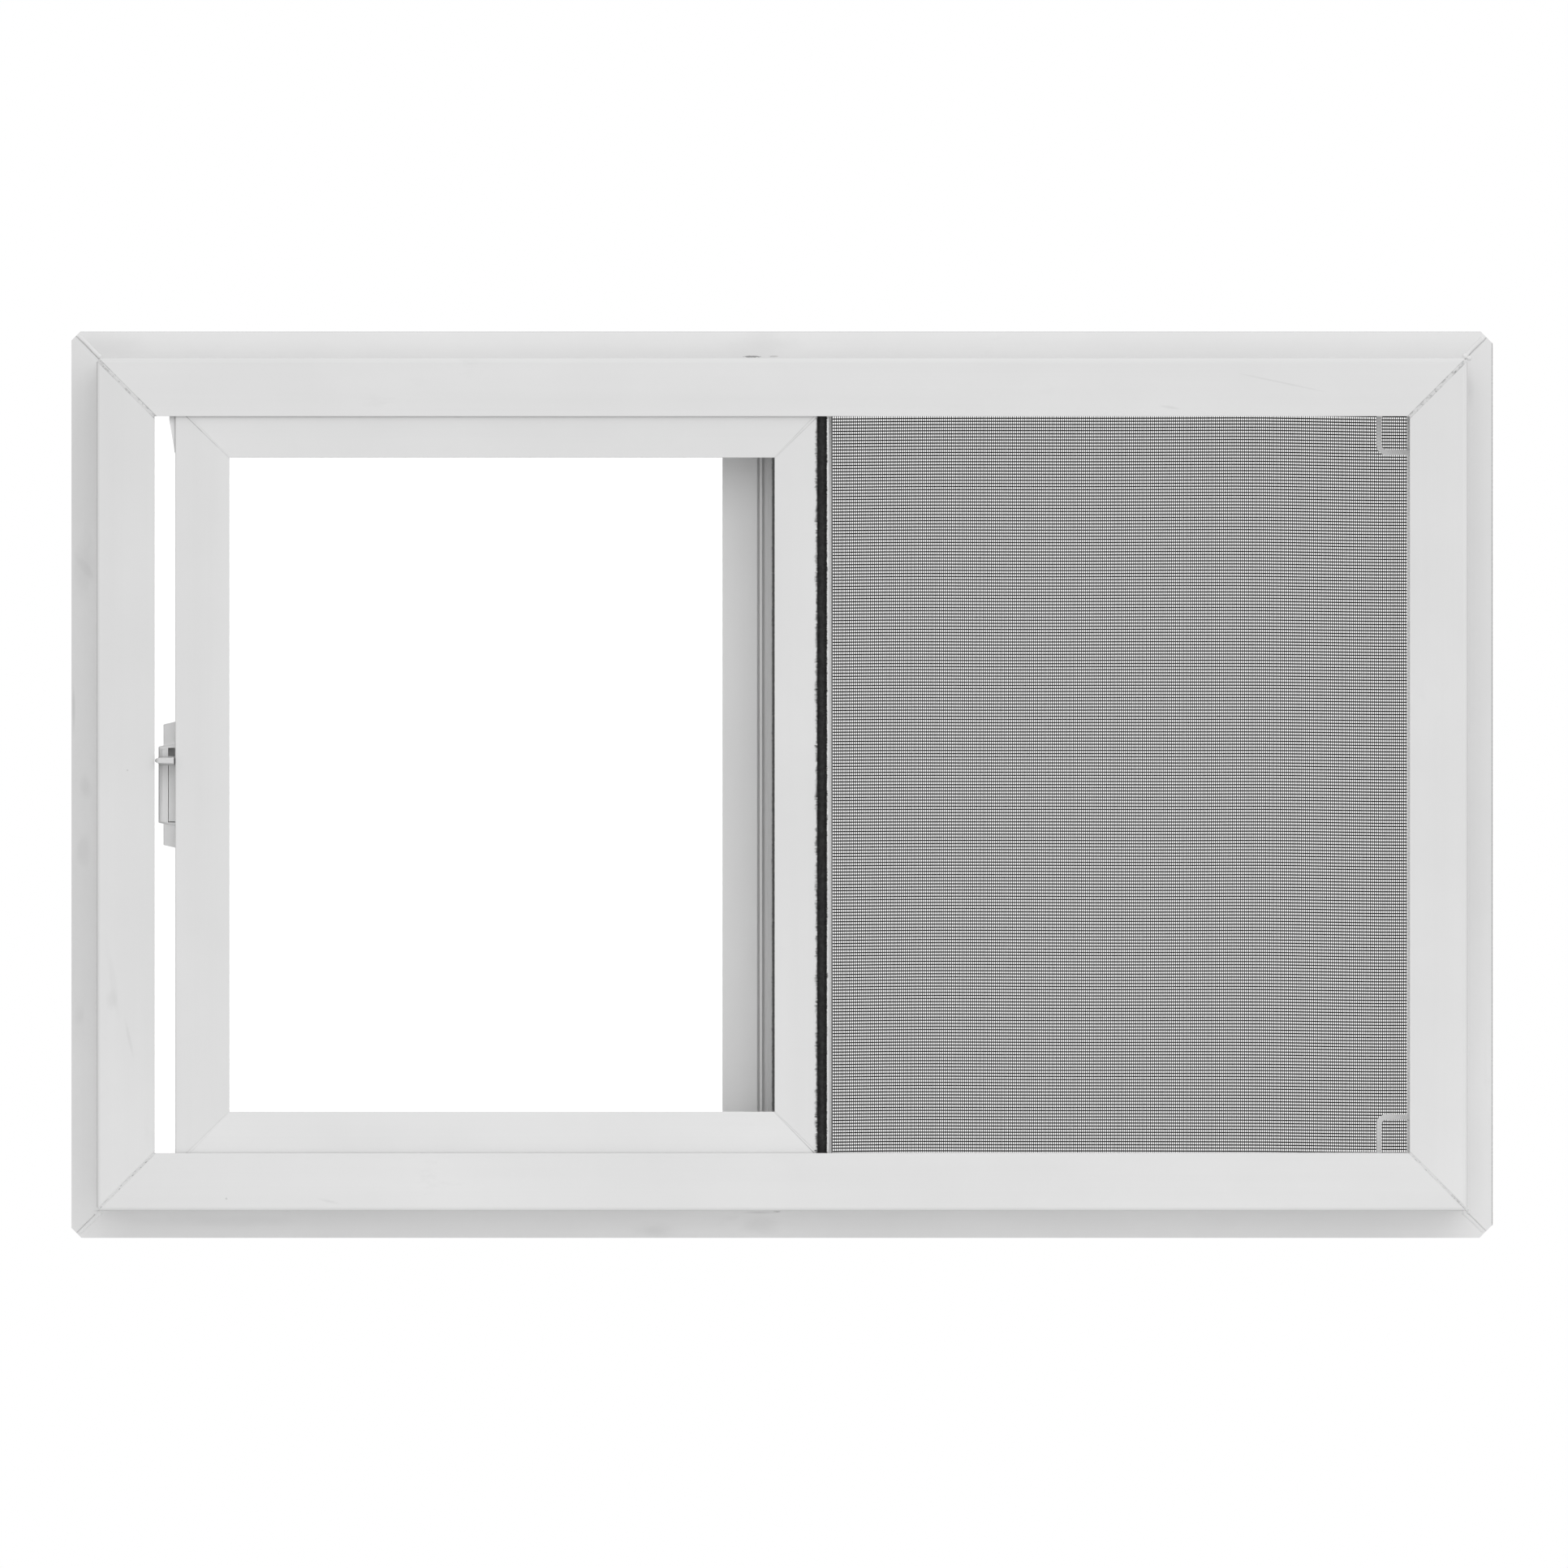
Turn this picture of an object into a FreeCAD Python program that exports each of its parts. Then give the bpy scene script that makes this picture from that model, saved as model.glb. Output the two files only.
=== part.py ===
import FreeCAD, Part
import math
import os

# Horizontal sliding window: a welded frame with a mounting fin, a fixed light
# on the left of the room side, a half insect screen on the right and one sash
# that slides on the room side. X runs right as seen from the room, Y runs to
# the outside, Z is up. Origin: middle of the sill fin's wall-bearing face.
# Rest pose: sash fully open, slid to the left.

# ---------------------------------------------------------------- dimensions
BODY_W = 806.4          # frame body width (31-3/4 in)
BODY_H = 501.6          # frame body height (19-3/4 in)
DEPTH = 70.0            # frame depth, room face to outside face
FIN_OUT = 17.5          # fin projection beyond the body
FIN_T = 2.0             # fin thickness
FIN_D = 43.0            # depth of the fin's wall-bearing face behind the room face
FACE_W = 34.2           # width of the room-side face
FACE_T = 1.4            # thickness of that face's free lip
EDGE_R = 3.2            # rounding of the outer room-side edge
TRACK_FLOOR = 21.6      # sash track floor, measured in from the body edge
TRACK_BACK = 33.5       # depth of the leg behind the sash
LEG_T = 2.5             # its thickness
LEG_TOP = 30.0          # how far it stands in
POCKET_FLOOR = 13.0     # outer pocket floor (fixed glass and screen)
POCKET_BACK = 58.0      # depth of the outside leg's inner face
OUT_LEG_TOP = 30.4      # how far the outside leg stands in
RIB_D0, RIB_D1 = 18.0, 21.0   # running rib in the sill track
RIB_TOP = 26.2
FIN_CHAMFER = {"tl": 5.3, "tr": 7.2, "bl": 5.9, "br": 7.9}
SEAM_TOP, SEAM_LOW, SEAM_DEEP = 2.0, 1.6, 0.25   # trimmed groove along each welded frame mitre
SASH_SEAM_OUT, SASH_SEAM_IN, SASH_SEAM_DEEP = 2.0, 0.5, 0.2   # tapering groove on the sash mitres
FIN_SEAM_W, FIN_SEAM_DEEP = 0.7, 0.35            # open line of the fin's mitres
CORNER_CUT = 2.6        # body corners knocked off where the weld was trimmed

SASH_X0, SASH_X1 = -356.9, 27.5   # sash edges at rest (open)
SASH_H = 448.4
SASH_D = 2.1            # depth of the sash's room face
SASH_T = 28.3
SASH_FACE = 31.9
REBATE_S, REBATE_E = 21.7, 5.0
PILE_S0, PILE_S1 = 1.3, 6.8       # pile groove across the sash face
PILE_DEEP = 3.0
PILE_PROUD = 0.4
PANE_T = 3.0
SASH_PANE_S = 22.7
SASH_PANE_E = (5.0, 16.4)         # room faces of the two panes
BEAD_E0 = 19.4

MULL_X0, MULL_X1 = -35.3, 9.5
MULL_D0, MULL_D1 = 36.5, 57.5
MULL_LIP_D = 64.0
MULL_POCKET_X = -24.0
FIX_D0 = 43.0           # room face of the fixed glass
FIX_EDGE = 14.0         # glass edge, measured in from the body edge

SCR_D0, SCR_D1 = 49.5, 57.5       # screen bar depth range
SCR_X0, SCR_X1 = 29.8, 370.3      # inner edges of the bars
SCR_Z0, SCR_Z1 = -217.95, 218.6   # inner edges, from the window's mid height
SCR_BAR = 19.0
SCR_LIP = 2.0                     # lip between inner edge and spline groove
SCR_GROOVE = 3.6
SCR_MESH_D0, SCR_MESH_D1 = 56.4, 56.9

GUIDE_D0, GUIDE_D1 = 5.0, 28.0
LATCH_OUT = 7.6
LATCH_HALF_IN, LATCH_HALF_OUT = 37.3, 35.6
LATCH_D0, LATCH_D1 = 14.5, 28.0
HOUSE_OUT = 10.5
HOUSE_HALF_IN, HOUSE_HALF_OUT = 24.4, 22.5
HOUSE_D0, HOUSE_D1 = 12.5, 27.0
HOUSE_ROUND = 2.2       # rounding of the housing's free front edge
SLOT_W, SLOT_Z0, SLOT_Z1, SLOT_D1 = 4.8, -22.2, 21.7, 19.0
TAB_Z, TAB_TIP, TAB_KNOB_R = 14.2, 11.5, 1.35
TAB_X_IN, TAB_X_OUT = 0.7, 10.0  # thumb tab, out from the stile's edge
TAB_BACK = (2.7, -2.9, 2.3, -2.4)   # upper and lower edge at the root, then at the free end
TAB_FRONT = (1.5, -1.6, 1.35, -1.35)
TAB_D0, TAB_D1 = -4.5, 12.0      # the tab stands proud of the room face, to be gripped

V = FreeCAD.Vector
HX, HZ = BODY_W / 2, BODY_H / 2
ZB = FIN_OUT / 2        # body's lower edge: the origin is at the fin's middle
ZC = ZB + HZ
ZT = ZB + BODY_H


def Y(d):
    return d - FIN_D


def wire(points):
    """Closed wire through 3-D points (point, radius); a radius rounds that corner."""
    n = len(points)
    cuts = []
    for i in range(n):
        p, rad = points[i]
        if not rad:
            cuts.append((p, None, p))
            continue
        a = (points[i - 1][0] - p).normalize()
        b = (points[(i + 1) % n][0] - p).normalize()
        half = a.getAngle(b) / 2
        t = rad / math.tan(half)
        bis = (a + b).normalize()
        mid = p + bis * (rad / math.sin(half) - rad)
        cuts.append((p + a * t, mid, p + b * t))
    edges = []
    for i in range(n):
        s, mid, e = cuts[i]
        if mid is not None:
            edges.append(Part.Arc(s, mid, e).toShape())
        nxt = cuts[(i + 1) % n][0]
        if (nxt - e).Length > 1e-7:
            edges.append(Part.LineSegment(e, nxt).toShape())
    return Part.Wire(edges)


def solid(points, direction):
    return Part.Face(wire(points)).extrude(direction)


def rounded(p):
    return p if len(p) == 3 else (p[0], p[1], 0)


def box(x0, x1, d0, d1, z0, z1):
    return Part.makeBox(x1 - x0, d1 - d0, z1 - z0, V(x0, Y(d0), z0))


def plate_xz(points, d0, d1):
    """Outline in X, Z given depth from d0 to d1."""
    return solid([(V(q[0], Y(d0), q[1]), q[2]) for q in map(rounded, points)], V(0, d1 - d0, 0))


def bar(side, profile, x0, x1, z0, z1, grow=40.0):
    """A profile (inward, depth) run along one side of the rectangle, square ends far out."""
    q = [rounded(p) for p in profile]
    if side == "bottom":
        pts = [(V(x0 - grow, Y(d), z0 + r), c) for r, d, c in q]
        return solid(pts, V(x1 - x0 + 2 * grow, 0, 0))
    if side == "top":
        pts = [(V(x0 - grow, Y(d), z1 - r), c) for r, d, c in q]
        return solid(pts, V(x1 - x0 + 2 * grow, 0, 0))
    if side == "left":
        pts = [(V(x0 + r, Y(d), z0 - grow), c) for r, d, c in q]
        return solid(pts, V(0, 0, z1 - z0 + 2 * grow))
    pts = [(V(x1 - r, Y(d), z0 - grow), c) for r, d, c in q]
    return solid(pts, V(0, 0, z1 - z0 + 2 * grow))


def mitre(side, x0, x1, z0, z1, d0, d1, out=35.0, inn=60.0):
    """Space of one side between the two 45 degree mitre planes."""
    if side == "bottom":
        pts = [(x0 - out, z0 - out), (x1 + out, z0 - out), (x1 - inn, z0 + inn), (x0 + inn, z0 + inn)]
    elif side == "top":
        pts = [(x0 - out, z1 + out), (x0 + inn, z1 - inn), (x1 - inn, z1 - inn), (x1 + out, z1 + out)]
    elif side == "left":
        pts = [(x0 - out, z0 - out), (x0 + inn, z0 + inn), (x0 + inn, z1 - inn), (x0 - out, z1 + out)]
    else:
        pts = [(x1 + out, z0 - out), (x1 + out, z1 + out), (x1 - inn, z1 - inn), (x1 - inn, z0 + inn)]
    return plate_xz(pts, d0, d1)


def member(side, profile, x0, x1, z0, z1, d0=-20.0, d1=100.0):
    return bar(side, profile, x0, x1, z0, z1).common(mitre(side, x0, x1, z0, z1, d0, d1))


def seam(x, z, sx, sz, length, d, top, low, deep, back=4.0):
    """Flat-bottomed groove tool on a mitre: from corner (x, z) inward along (sx, sz)."""
    u = V(sx, 0, sz).normalize()
    n = V(-sz, 0, sx).normalize()
    o = V(x, Y(d), z) - u * back
    up, dn = V(0, -0.5, 0), V(0, deep, 0)
    pts = [o + n * (top / 2) + up, o + n * (top / 2), o + n * (low / 2) + dn,
           o - n * (low / 2) + dn, o - n * (top / 2), o - n * (top / 2) + up]
    return solid([(p, 0) for p in pts], u * (length + back))


def taper_seam(x, z, sx, sz, length, d, wide, narrow, deep):
    """Groove tool that narrows from the outer corner (x, z) to the inner one."""
    k = math.sqrt(0.5)
    ux, uz, nx, nz = sx * k, sz * k, -sz * k, sx * k
    a, b = -2.0, length + 0.5
    pts = [(x + ux * t + nx * w, z + uz * t + nz * w)
           for t, w in ((a, wide / 2), (b, narrow / 2), (b, -narrow / 2), (a, -wide / 2))]
    return plate_xz(pts, d - 0.5, d + deep)


def corners(x0, x1, z0, z1, tool):
    return {"bl": tool(x0, z0, 1, 1), "br": tool(x1, z0, -1, 1), "tl": tool(x0, z1, 1, -1), "tr": tool(x1, z1, -1, -1)}


ENDS = {"bottom": ("bl", "br"), "top": ("tl", "tr"), "left": ("bl", "tl"), "right": ("br", "tr")}
parts = {}

# --------------------------------------------------------------------- frame
frame_profile = [
    (0, 0, EDGE_R), (FACE_W, 0), (FACE_W, FACE_T), (TRACK_FLOOR, FACE_T),
    (TRACK_FLOOR, TRACK_BACK), (LEG_TOP, TRACK_BACK), (LEG_TOP, TRACK_BACK + LEG_T),
    (POCKET_FLOOR, TRACK_BACK + LEG_T), (POCKET_FLOOR, POCKET_BACK),
    (OUT_LEG_TOP, POCKET_BACK), (OUT_LEG_TOP, DEPTH - 4), (OUT_LEG_TOP - 2.4, DEPTH),
    (0, DEPTH, 1.5), (0, FIN_D + FIN_T), (-FIN_OUT, FIN_D + FIN_T), (-FIN_OUT, FIN_D), (0, FIN_D),
]
i_rib = frame_profile.index((TRACK_FLOOR, TRACK_BACK))
sill_profile = (frame_profile[:i_rib]
                + [(TRACK_FLOOR, RIB_D0), (RIB_TOP, RIB_D0, 0.8), (RIB_TOP, RIB_D1, 0.8), (TRACK_FLOOR, RIB_D1)]
                + frame_profile[i_rib:])

R2 = math.sqrt(2)
frame_seams = corners(-HX, HX, ZB, ZT, lambda x, z, sx, sz: seam(
    x, z, sx, sz, FACE_W * R2 + 2, 0.0, SEAM_TOP, SEAM_LOW, SEAM_DEEP))
fin_seams = corners(-HX, HX, ZB, ZT, lambda x, z, sx, sz: seam(
    x, z, -sx, -sz, FIN_OUT * R2 + 2, FIN_D, FIN_SEAM_W, FIN_SEAM_W * 0.4, FIN_SEAM_DEEP, 0.0))
body_cuts = corners(-HX, HX, ZB, ZT, lambda x, z, sx, sz: plate_xz(
    [(x - sx * 3, z - sz * 3), (x - sx * 3, z + sz * (CORNER_CUT + 3)), (x + sx * (CORNER_CUT + 3), z - sz * 3)],
    -1.0, FIN_D))


def fin_corner(key):
    sx = -1 if key[1] == "l" else 1
    sz = 1 if key[0] == "t" else -1
    c = FIN_CHAMFER[key]
    x = sx * (HX + FIN_OUT)
    z = (ZT + FIN_OUT) if sz > 0 else (ZB - FIN_OUT)
    e = 6.0
    pts = [(x - sx * (c + e), z + sz * e), (x + sx * e, z - sz * (c + e)), (x + sx * e, z + sz * e)]
    return plate_xz(pts, FIN_D - 3, FIN_D + FIN_T + 3)


for side, name in (("top", "frame_head"), ("bottom", "frame_sill"),
                   ("left", "frame_left_jamb"), ("right", "frame_right_jamb")):
    prof = sill_profile if side == "bottom" else frame_profile
    s = member(side, prof, -HX, HX, ZB, ZT)
    for k in ENDS[side]:
        s = s.cut(body_cuts[k]).cut(frame_seams[k]).cut(fin_seams[k]).cut(fin_corner(k))
    parts[name] = s

# ------------------------------------------- fixed light: mullion, glass, beads
pz0, pz1 = ZB + POCKET_FLOOR, ZT - POCKET_FLOOR
mull_face = [
    (MULL_X0, MULL_D0, 0.6), (-14.8, MULL_D0), (-14.7, MULL_D0 + 4.5), (-13.3, MULL_D0 + 4.5),
    (-13.2, MULL_D0 - 0.3), (-11.9, MULL_D0 - 0.3), (-11.8, MULL_D0 + 5.0), (-10.7, MULL_D0 + 5.0),
    (-10.6, MULL_D0 + 3.0), (-8.5, MULL_D0 + 3.0), (-8.3, MULL_D0 + 1.8), (-5.9, MULL_D0 + 1.8),
    (-5.9, MULL_D0 + 4.2), (-4.6, MULL_D0 + 4.2), (-4.6, MULL_D0 + 0.2), (MULL_X1, MULL_D0 + 0.2, 0.6), (MULL_X1, MULL_D1),
    (MULL_POCKET_X, MULL_D1), (MULL_POCKET_X, FIX_D0), (MULL_X0, FIX_D0),
]
mull = solid([(V(q[0], Y(q[1]), pz0), q[2]) for q in map(rounded, mull_face)], V(0, 0, pz1 - pz0))
lip_z0, lip_z1 = ZB + OUT_LEG_TOP, ZT - OUT_LEG_TOP
lip = [(MULL_POCKET_X, MULL_D1), (MULL_X1, MULL_D1), (MULL_X1, MULL_LIP_D, 1.0),
       (MULL_X0, MULL_LIP_D, 1.0), (MULL_X0, POCKET_BACK), (MULL_POCKET_X, POCKET_BACK)]
mull = mull.fuse(solid([(V(q[0], Y(q[1]), lip_z0), q[2]) for q in map(rounded, lip)], V(0, 0, lip_z1 - lip_z0)))
parts["meeting_mullion"] = mull.removeSplitter()
parts["mullion_pile"] = box(-5.8, -4.7, 32.1, MULL_D0 + 4.2, ZB + LEG_TOP + 0.5, ZT - LEG_TOP - 0.5)

gx0, gx1 = -HX + FIX_EDGE, MULL_POCKET_X - 1.0
gz0, gz1 = ZB + FIX_EDGE, ZT - FIX_EDGE
parts["fixed_glass_inner_pane"] = box(gx0, gx1, FIX_D0, FIX_D0 + PANE_T, gz0, gz1)
parts["fixed_glass_outer_pane"] = box(gx0, gx1, POCKET_BACK - PANE_T, POCKET_BACK, gz0, gz1)
sp0, sp1 = FIX_D0 + PANE_T, POCKET_BACK - PANE_T
parts["fixed_glass_spacer"] = box(gx0 + 3, gx1 - 1, sp0, sp1, gz0 + 3, gz1 - 3).cut(
    box(gx0 + 13, gx1 - 8, sp0 - 1, sp1 + 1, gz0 + 13, gz1 - 13))
bead = [(POCKET_FLOOR, TRACK_BACK + LEG_T), (31.0, TRACK_BACK + LEG_T), (31.0, FIX_D0 - 2.5), (29.5, FIX_D0), (POCKET_FLOOR, FIX_D0)]
stop = box(-HX - 50, MULL_X0, -20, 100, ZB - 50, ZT + 50)
for side, name in (("top", "fixed_bead_top"), ("bottom", "fixed_bead_bottom"), ("left", "fixed_bead_left")):
    parts[name] = member(side, bead, -HX, HX, ZB, ZT).common(stop)

# -------------------------------------------------------------- insect screen
sx0, sx1 = SCR_X0, SCR_X1
sz0, sz1 = ZC + SCR_Z0, ZC + SCR_Z1


def screen_bar(side, width):
    lip_e = SCR_LIP
    prof = [(0, SCR_D0, 0.6), (0, SCR_D0 + 1.4), (-0.9, SCR_D0 + 2.3), (-0.9, SCR_MESH_D0),
            (-lip_e, SCR_MESH_D0), (-lip_e, SCR_D1 - 3.2),
            (-lip_e - SCR_GROOVE, SCR_D1 - 3.2), (-lip_e - SCR_GROOVE, SCR_D1),
            (-width, SCR_D1, 0.6), (-width, SCR_D0, 0.6)]
    room = box(sx0 - SCR_BAR, sx1 + SCR_BAR, 0, 100, ZB, ZT)
    return member(side, prof, sx0, sx1, sz0, sz1).common(room)


parts["screen_top_bar"] = screen_bar("top", SCR_BAR)
parts["screen_bottom_bar"] = screen_bar("bottom", sz0 - ZB - POCKET_FLOOR)
parts["screen_left_bar"] = screen_bar("left", SCR_BAR)
parts["screen_right_bar"] = screen_bar("right", SCR_BAR)
parts["screen_mesh"] = box(sx0 - SCR_LIP, sx1 + SCR_LIP, SCR_MESH_D0, SCR_MESH_D1, sz0 - SCR_LIP, sz1 + SCR_LIP)
o, g = SCR_LIP, SCR_LIP + SCR_GROOVE
parts["screen_spline"] = box(sx0 - g, sx1 + g, SCR_D1 - 3.2, SCR_D1 - 0.2, sz0 - g, sz1 + g).cut(
    box(sx0 - o, sx1 + o, 0, 100, sz0 - o, sz1 + o))

# rounded loops for pulling the screen out, lying on the bars' room face
PULL_X, PULL_Z, PULL_W, PULL_R = 353.7, 196.9, 3.1, 6.0
PULL_FAR_X, PULL_FAR_Z = 376.5, 222.6
PULL_D0, PULL_D1 = SCR_D0 - 1.2, SCR_D0


def pull(s):
    def ring(grow, r):
        x0, x1 = PULL_X - grow, PULL_FAR_X - PULL_W / 2 + grow
        za, zb = ZC + s * (PULL_Z - grow), ZC + s * (PULL_FAR_Z - PULL_W / 2 + grow)
        return [(x0, za, r), (x1, za, r), (x1, zb, r), (x0, zb, r)]
    return plate_xz(ring(PULL_W / 2, PULL_R), PULL_D0, PULL_D1).cut(
        plate_xz(ring(-PULL_W / 2, PULL_R - PULL_W), PULL_D0 - 1, PULL_D1 + 1))


parts["screen_pull_upper"] = pull(1)
parts["screen_pull_lower"] = pull(-1)

# ----------------------------------------------------------------------- sash
wz0, wz1 = ZC - SASH_H / 2, ZC + SASH_H / 2
D0 = SASH_D


def sash_profile(groove):
    p = [(0, D0, 1.0)]
    if groove:
        p += [(PILE_S0, D0), (PILE_S0, D0 + PILE_DEEP), (PILE_S1, D0 + PILE_DEEP), (PILE_S1, D0)]
        p[0] = (0, D0, 0.6)
    p += [(SASH_FACE, D0, 0.3), (SASH_FACE, D0 + 1.2), (SASH_FACE - 0.7, D0 + REBATE_E), (REBATE_S, D0 + REBATE_E),
          (REBATE_S, D0 + SASH_T), (0, D0 + SASH_T, 1.0)]
    return p


sash_seams = corners(SASH_X0, SASH_X1, wz0, wz1, lambda x, z, sx, sz: taper_seam(
    x, z, sx, sz, SASH_FACE * R2, D0, SASH_SEAM_OUT, SASH_SEAM_IN, SASH_SEAM_DEEP))
for side, name, groove in (("top", "sash_top_rail", True), ("bottom", "sash_bottom_rail", True),
                           ("left", "sash_lock_stile", False), ("right", "sash_jamb_stile", True)):
    s = member(side, sash_profile(groove), SASH_X0, SASH_X1, wz0, wz1)
    for k in ENDS[side]:
        s = s.cut(sash_seams[k])
    parts[name] = s

pile = [(PILE_S0 + 0.15, D0 - PILE_PROUD), (PILE_S1 - 0.15, D0 - PILE_PROUD),
        (PILE_S1 - 0.15, D0 + PILE_DEEP), (PILE_S0 + 0.15, D0 + PILE_DEEP)]
pile_room = box(SASH_X0 + PILE_S1 + 6, SASH_X1 + 50, -20, 100, wz0 - 50, wz1 + 50)
for side in ("top", "bottom", "right"):
    parts["sash_pile_" + side] = member(side, pile, SASH_X0, SASH_X1, wz0, wz1).common(pile_room)

e = SASH_PANE_S
px0, px1, qz0, qz1 = SASH_X0 + e, SASH_X1 - e, wz0 + e, wz1 - e
a0, a1 = SASH_PANE_E
parts["sash_glass_inner_pane"] = box(px0, px1, D0 + a0, D0 + a0 + PANE_T, qz0, qz1)
parts["sash_glass_outer_pane"] = box(px0, px1, D0 + a1, D0 + a1 + PANE_T, qz0, qz1)
parts["sash_glass_spacer"] = box(px0 + 0.6, px1 - 0.6, D0 + a0 + PANE_T, D0 + a1, qz0 + 0.6, qz1 - 0.6).cut(
    box(px0 + 8, px1 - 8, 0, 100, qz0 + 8, qz1 - 8))
sb = SASH_FACE - 1.7
sbead = [(REBATE_S, D0 + BEAD_E0), (sb, D0 + BEAD_E0), (sb, D0 + SASH_T - 2.0),
         (sb - 2.5, D0 + SASH_T), (REBATE_S, D0 + SASH_T)]
for side in ("top", "bottom", "left", "right"):
    parts["sash_bead_" + side] = member(side, sbead, SASH_X0, SASH_X1, wz0, wz1)

# wedge-shaped guide at the top of the lock stile's edge
X0 = SASH_X0
parts["sash_guide_block"] = plate_xz(
    [(X0, ZC + 195.4), (X0 - 0.4, ZC + 195.4), (X0 - 3.6, ZC + 214.2), (X0 - 3.6, ZC + 222.0, 0.8), (X0, ZC + 222.0)],
    GUIDE_D0, GUIDE_D1)

# ---------------------------------------------------------------------- latch
base = plate_xz([(X0, ZC - LATCH_HALF_IN), (X0, ZC + LATCH_HALF_IN), (X0 - LATCH_OUT, ZC + LATCH_HALF_OUT, 0.7),
                 (X0 - LATCH_OUT, ZC - LATCH_HALF_OUT, 0.7)], LATCH_D0, LATCH_D1)
house = plate_xz([(X0, ZC - HOUSE_HALF_IN), (X0, ZC + HOUSE_HALF_IN), (X0 - HOUSE_OUT, ZC + HOUSE_HALF_OUT, 0.9),
                  (X0 - HOUSE_OUT, ZC - HOUSE_HALF_OUT, 0.9)], HOUSE_D0, HOUSE_D1)
front_edges = [e for e in house.Edges
               if all(abs(v.Point.y - Y(HOUSE_D0)) < 1e-6 for v in e.Vertexes)
               and all(v.Point.x < X0 - HOUSE_OUT + 1e-3 for v in e.Vertexes)
               and abs(e.Vertexes[0].Point.z - e.Vertexes[-1].Point.z) > 20]
house = house.makeFillet(HOUSE_ROUND, front_edges)
slot = box(X0 - SLOT_W, X0 + 1, 0, SLOT_D1, ZC + SLOT_Z0, ZC + SLOT_Z1)
parts["latch_body"] = base.fuse(house).cut(slot).removeSplitter()

plate = box(X0 - 4.5, X0 - 0.5, HOUSE_D0 + 0.8, SLOT_D1 - 1.5, ZC - 21.7, ZC + 16.9)
neck = box(X0 - 4.3, X0 - 1.2, TAB_D1 - 1, HOUSE_D0 + 2, ZC + TAB_Z - 2.6, ZC + TAB_Z + 2.6)
ztab = ZC + TAB_Z
def tab_ring(e, d):
    a, b = X0 - TAB_X_IN, X0 - TAB_X_OUT
    pts = [V(a, Y(d), ztab + e[1]), V(a, Y(d), ztab + e[0]), V(b, Y(d), ztab + e[2]), V(b, Y(d), ztab + e[3])]
    return Part.Wire(Part.makePolygon(pts + pts[:1]).Edges)


# wedge with a narrow front face and a round nose past its free end
tab = Part.makeLoft([tab_ring(TAB_BACK, TAB_D1), tab_ring(TAB_FRONT, TAB_D0)], True, True)
nose = Part.makeCylinder(TAB_KNOB_R, 5.0, V(X0 - TAB_TIP + TAB_KNOB_R, Y(TAB_D0), ztab), V(0, 1, 0))
tab = tab.fuse(nose)
parts["latch_slider"] = plate.fuse(neck).fuse(tab).removeSplitter()

# ---------------------------------------------------------------------- write
os.makedirs("parts", exist_ok=True)
total = 0.0
for name, shape in parts.items():
    solids = shape.Solids
    ok = shape.isValid() and len(solids) == 1
    total += shape.Volume
    print(f"{name:26s} solids {len(solids)} valid {shape.isValid()} volume {shape.Volume / 1000:9.2f} cm3" + ("" if ok else "  <-- check"))
    (solids[0] if len(solids) == 1 else shape).exportStep("parts/" + name + ".step")
print("nodes", len(parts), "total volume cm3", round(total / 1000, 1))
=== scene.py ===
import math

import bmesh
import bpy
import numpy as np
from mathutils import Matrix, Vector


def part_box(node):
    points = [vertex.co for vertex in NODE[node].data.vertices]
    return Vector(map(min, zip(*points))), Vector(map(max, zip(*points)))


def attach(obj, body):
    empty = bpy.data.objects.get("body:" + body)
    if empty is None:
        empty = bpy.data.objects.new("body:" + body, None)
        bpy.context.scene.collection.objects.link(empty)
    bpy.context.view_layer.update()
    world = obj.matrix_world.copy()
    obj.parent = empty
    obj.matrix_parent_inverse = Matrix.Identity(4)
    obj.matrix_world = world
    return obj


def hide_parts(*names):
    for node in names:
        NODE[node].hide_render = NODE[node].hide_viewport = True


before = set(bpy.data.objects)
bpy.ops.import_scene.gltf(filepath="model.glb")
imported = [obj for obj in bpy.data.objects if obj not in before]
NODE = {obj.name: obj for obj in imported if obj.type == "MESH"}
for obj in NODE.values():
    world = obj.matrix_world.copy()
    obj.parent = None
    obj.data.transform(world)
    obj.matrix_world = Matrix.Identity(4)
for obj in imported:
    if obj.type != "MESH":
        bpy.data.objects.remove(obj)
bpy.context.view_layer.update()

MM = 0.001
HX, HZ = 403.2 * MM, 250.8 * MM            # half the frame body
ZC = (8.75 + 250.8) * MM                   # window's mid height
FACE_Y = -43.0 * MM                        # room face of the frame
SASH_CX, SASH_HX, SASH_HZ = -164.7 * MM, 192.2 * MM, 224.2 * MM

scene = bpy.context.scene
scene.view_settings.view_transform = "Standard"
scene.view_settings.look = "None"
scene.view_settings.exposure = 0.0
scene.view_settings.gamma = 1.0

# ------------------------------------------------------------------ camera
CAM_DIST = 6.0
cam_data = bpy.data.cameras.new("camera")
cam_data.sensor_width = 36.0
cam_data.lens = 36.0 * CAM_DIST / (1932 * 0.47703 * MM)
cam_data.clip_start, cam_data.clip_end = 0.1, 100.0
cam = bpy.data.objects.new("camera", cam_data)
scene.collection.objects.link(cam)
cam.location = (1.1 * MM, FACE_Y - CAM_DIST, ZC + 0.4 * MM)
cam.rotation_euler = (math.pi / 2, 0, 0)
scene.camera = cam


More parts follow.
